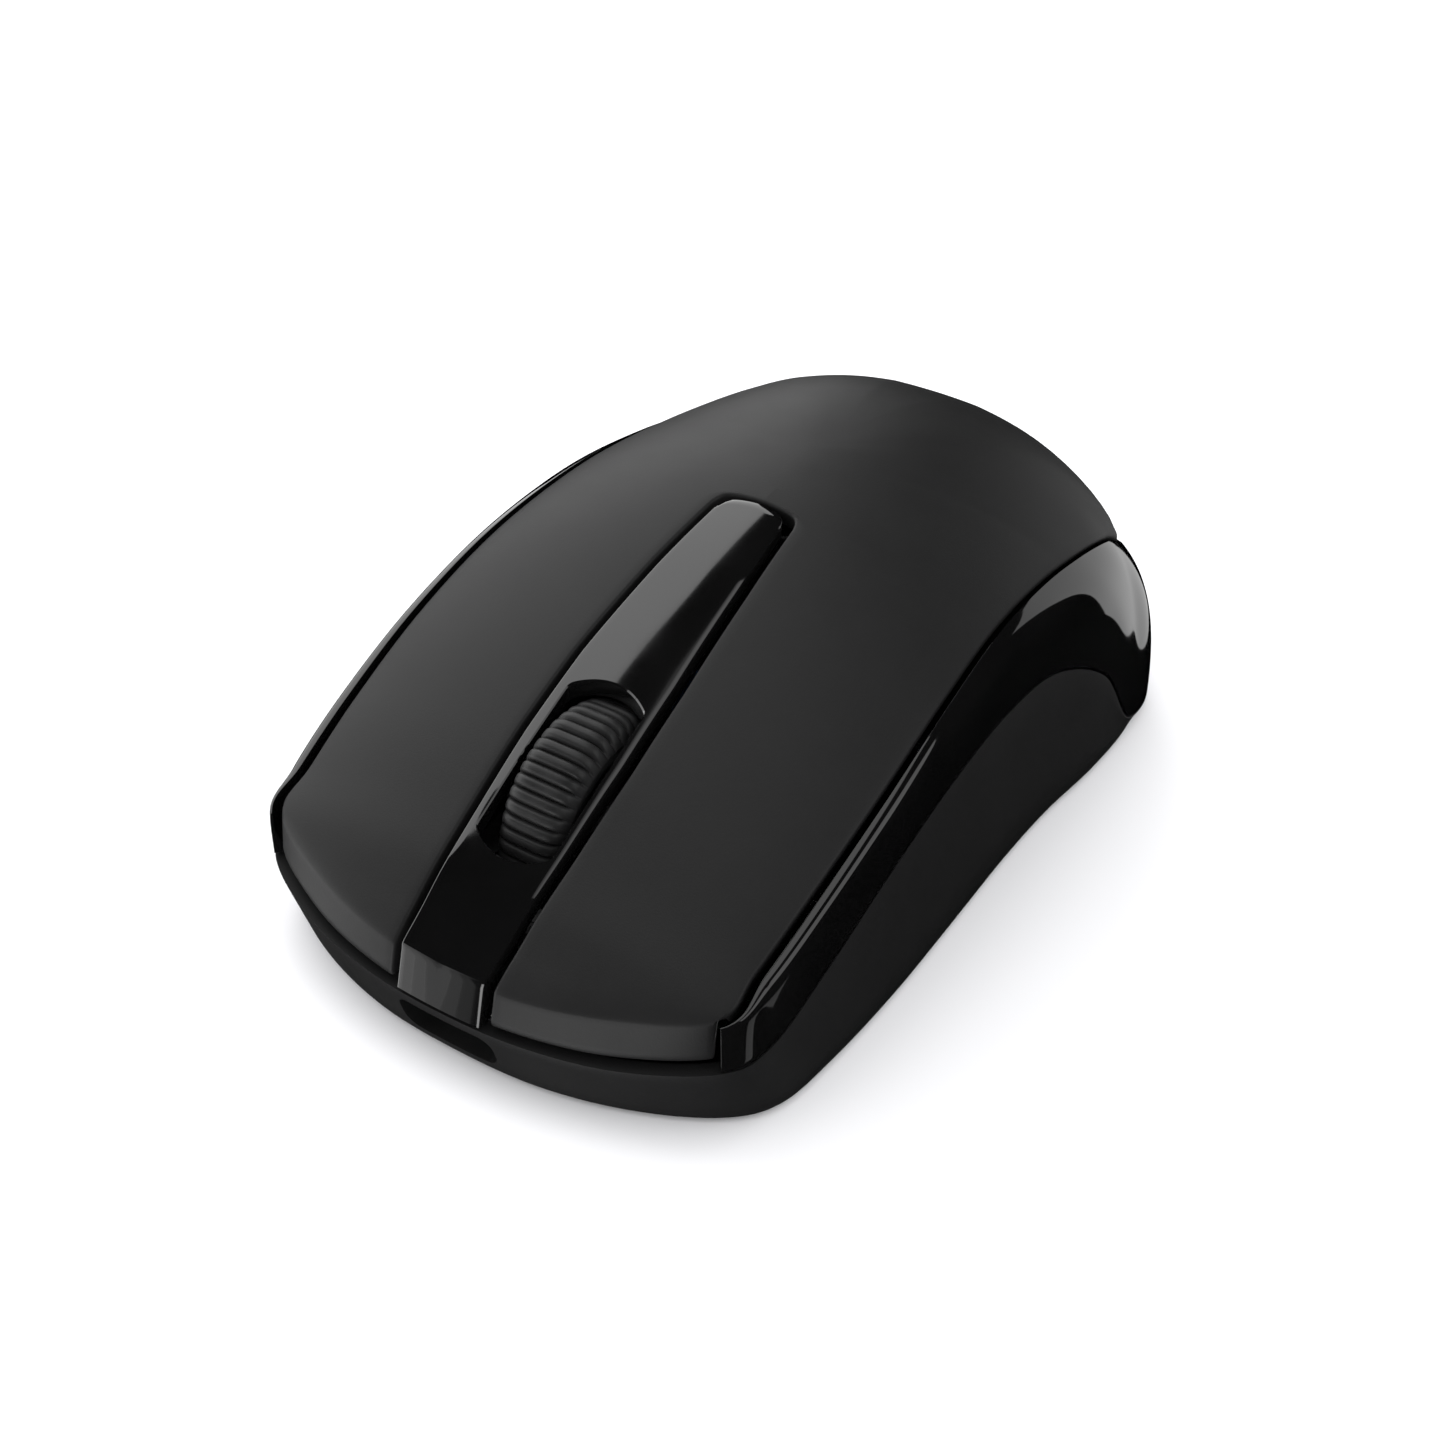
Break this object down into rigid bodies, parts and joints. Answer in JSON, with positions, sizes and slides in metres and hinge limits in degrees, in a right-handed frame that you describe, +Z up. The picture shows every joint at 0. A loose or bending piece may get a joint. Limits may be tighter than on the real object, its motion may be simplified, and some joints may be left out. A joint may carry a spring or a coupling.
{
  "type": "computer mouse",
  "caption": "Compact cordless computer mouse: matte arched top with two press buttons, glossy side belt and centre strip, ribbed scroll wheel, battery and receiver bays underneath.",
  "frame": {"origin": "under the middle of the footprint, on the plane the feet rest on", "axes": "+Z up, nose towards -Y, X across; x = 0 is the plane of symmetry of the casing"},
  "size_m": [0.0622, 0.1044, 0.0368],
  "materials": {
    "matte_shell": "fine-grained moulded surface",
    "gloss_trim": "polished",
    "inner_plastic": "plain moulded",
    "tyre_rubber": "ribbed soft rubber",
    "bright_steel": "drawn and stamped",
    "rotor_brass": "stamped",
    "board": "lacquered glass-fibre board",
    "chip_black": "moulded component body",
    "clear_lens": "clear moulded",
    "glide": "slippery sheet",
    "plunger_red": "moulded",
    "diode_red": "tinted clear",
    "plunger_white": "moulded",
    "cell_jacket": "printed film without lettering"
  },
  "bodies": {
    "case": {"base_shell": "matte_shell", "gloss_belt": "gloss_trim", "palm_cover": "matte_shell", "centre_strip": "gloss_trim", "encoder_case": "inner_plastic", "circuit_board": "board", "left_switch_case": "chip_black", "right_switch_case": "chip_black", "wheel_switch_case": "chip_black", "optical_sensor": "chip_black", "sensor_lens": "clear_lens", "light_diode": "diode_red", "radio_chip": "chip_black", "clock_crystal": "bright_steel", "charging_port": "bright_steel", "charging_tongue": "chip_black", "power_switch_case": "bright_steel", "battery_cell": "cell_jacket", "battery_contact_front": "bright_steel", "battery_contact_rear": "bright_steel", "front_foot": "glide", "rear_foot_left": "glide", "rear_foot_right": "glide", "case_screw_left": "bright_steel", "case_screw_right": "bright_steel", "board_screw_left": "bright_steel", "board_screw_right": "bright_steel"},
    "left_key": {"left_button": "matte_shell"},
    "right_key": {"right_button": "matte_shell"},
    "left_plunger": {"left_switch_plunger": "plunger_red"},
    "right_plunger": {"right_switch_plunger": "plunger_red"},
    "cradle": {"wheel_cradle": "inner_plastic", "cradle_spring": "bright_steel"},
    "wheel": {"wheel_tyre": "tyre_rubber", "wheel_hub": "inner_plastic", "wheel_axle": "bright_steel", "encoder_rotor": "rotor_brass"},
    "wheel_plunger": {"wheel_switch_plunger": "plunger_white"},
    "power_slider": {"power_switch_knob": "inner_plastic"},
    "door": {"battery_door": "matte_shell"},
    "receiver": {"receiver_cap": "inner_plastic", "receiver_plug": "bright_steel"}
  },
  "joints": [
    {"name": "left_button_press", "type": "hinge", "parent": "case", "child": "left_key", "pos_m": [0, -0.00177, 0.033], "axis": [1, 0, 0], "range_deg": [0, 0.9], "stiffness_Nm_per_rad": 2},
    {"name": "left_plunger_travel", "type": "slide", "parent": "case", "child": "left_plunger", "axis": [0, 0, -1], "range_m": [0, 0.0006]},
    {"name": "right_button_press", "type": "hinge", "parent": "case", "child": "right_key", "pos_m": [0, -0.00177, 0.033], "axis": [1, 0, 0], "range_deg": [0, 0.9], "stiffness_Nm_per_rad": 2},
    {"name": "right_plunger_travel", "type": "slide", "parent": "case", "child": "right_plunger", "axis": [0, 0, -1], "range_m": [0, 0.0006]},
    {"name": "wheel_press", "type": "slide", "parent": "case", "child": "cradle", "axis": [0, 0, -1], "range_m": [0, 0.0005], "stiffness_N_per_m": 1000, "springref_m": -0.0003, "deforming": ["cradle_spring"]},
    {"name": "wheel_spin", "type": "hinge", "parent": "cradle", "child": "wheel", "pos_m": [0, -0.02747, 0.0151], "axis": [1, 0, 0], "continuous": true},
    {"name": "wheel_plunger_travel", "type": "slide", "parent": "case", "child": "wheel_plunger", "axis": [0, 0, -1], "range_m": [0, 0.0005]},
    {"name": "power_switch_slide", "type": "slide", "parent": "case", "child": "power_slider", "axis": [1, 0, 0], "range_m": [0, 0.0025]},
    {"name": "battery_door_swing", "type": "hinge", "parent": "case", "child": "door", "pos_m": [0, -0.00287, 0.0014], "axis": [-1, 0, 0], "range_deg": [0, 70]},
    {"name": "receiver_draw", "type": "slide", "parent": "case", "child": "receiver", "axis": [0, 0, -1], "range_m": [0, 0.019]}
  ],
  "couplings": [
    {"joint": "left_plunger_travel", "follows": "left_button_press", "m_per_rad": 0.0345},
    {"joint": "right_plunger_travel", "follows": "right_button_press", "m_per_rad": 0.0345},
    {"joint": "wheel_plunger_travel", "follows": "wheel_press", "ratio": 1}
  ]
}
